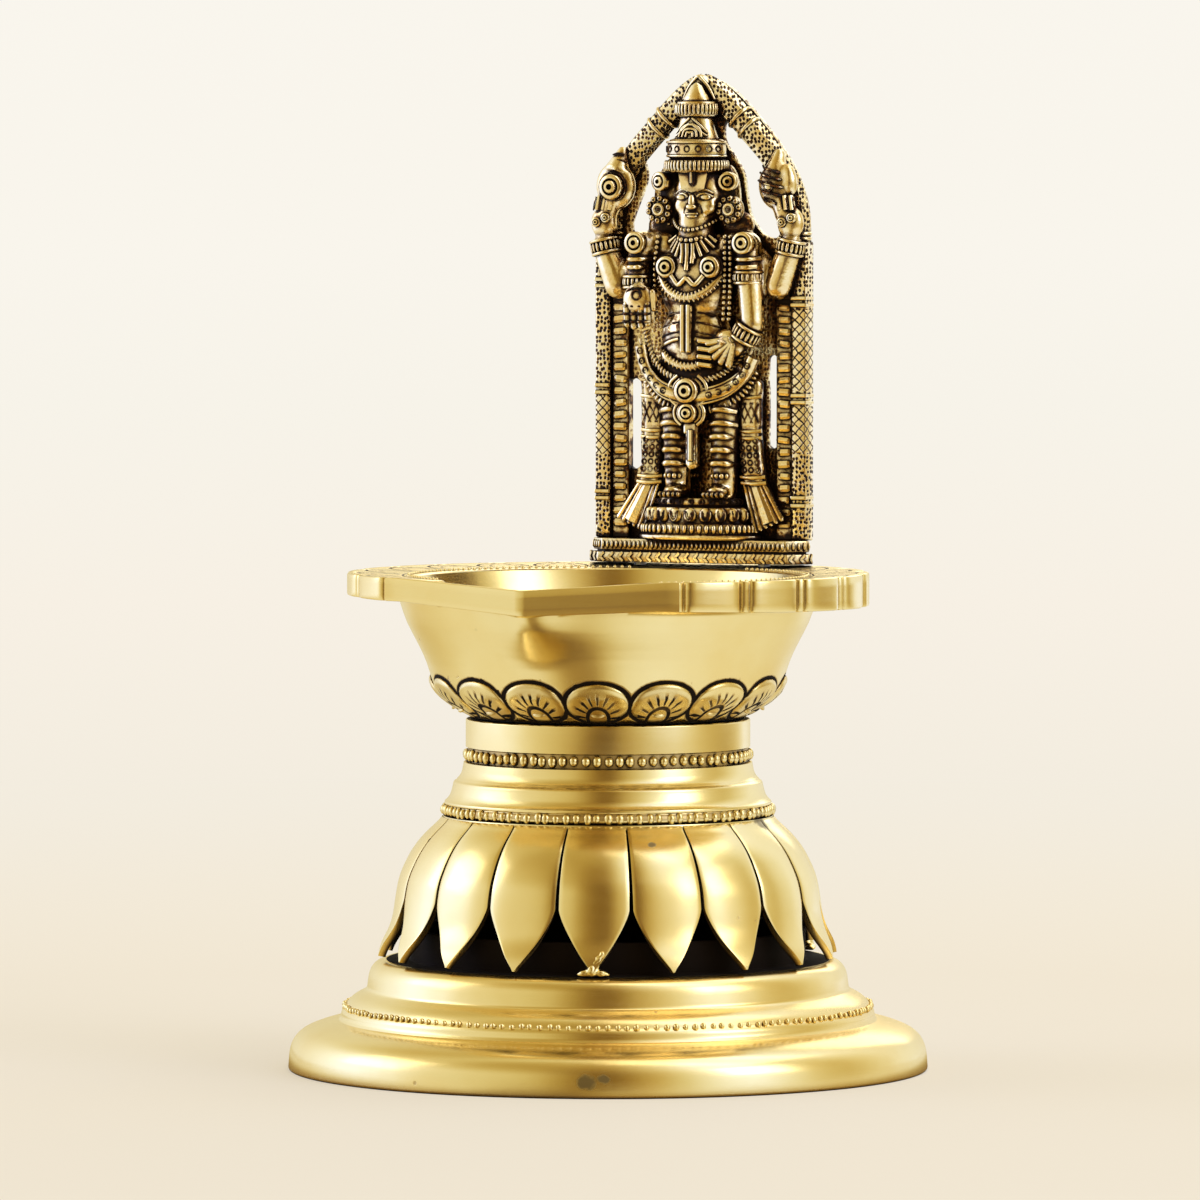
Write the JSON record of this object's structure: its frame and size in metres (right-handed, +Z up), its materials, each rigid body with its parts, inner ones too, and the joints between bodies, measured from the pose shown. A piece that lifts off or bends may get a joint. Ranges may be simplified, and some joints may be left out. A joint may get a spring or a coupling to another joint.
{
  "type": "figural oil lamp",
  "caption": "Brass oil lamp: a spouted bowl with a scalloped flange and a standing figure under an arch, screwed onto a lotus-petal stand.",
  "frame": {"origin": "centre of the foot's underside, on the table", "axes": "+Z up along the lamp's axis; -Y towards the viewer of the picture, +X to the right"},
  "size_m": [0.1282, 0.1282, 0.1997],
  "materials": {
    "polished_brass": "satin",
    "antique_brass": "antique, dark in its recesses",
    "seat_rubber": "matt",
    "screw_steel": "plain"
  },
  "bodies": {
    "stand": {"foot": "polished_brass", "lotus_bell": "polished_brass", "neck": "polished_brass"},
    "seat": {"seat_washer": "seat_rubber"},
    "lamp": {"lamp_bowl": "polished_brass", "lamp_stud": "polished_brass", "figure_plate": "antique_brass", "arch": "antique_brass", "standing_figure": "antique_brass", "figure_screw_left": "screw_steel", "figure_screw_right": "screw_steel", "screw_washer_left": "screw_steel", "screw_washer_right": "screw_steel"}
  },
  "joints": [
    {"name": "lamp_unscrew", "type": "hinge", "parent": "stand", "child": "seat", "pos_m": [0, 0, 0.07], "axis": [0, 0, 1], "range_deg": [0, 1440]},
    {"name": "lamp_rise", "type": "slide", "parent": "seat", "child": "lamp", "axis": [0, 0, 1], "range_m": [0, 0.006]}
  ],
  "couplings": [
    {"joint": "lamp_rise", "follows": "lamp_unscrew", "m_per_rad": 0.00023873}
  ]
}
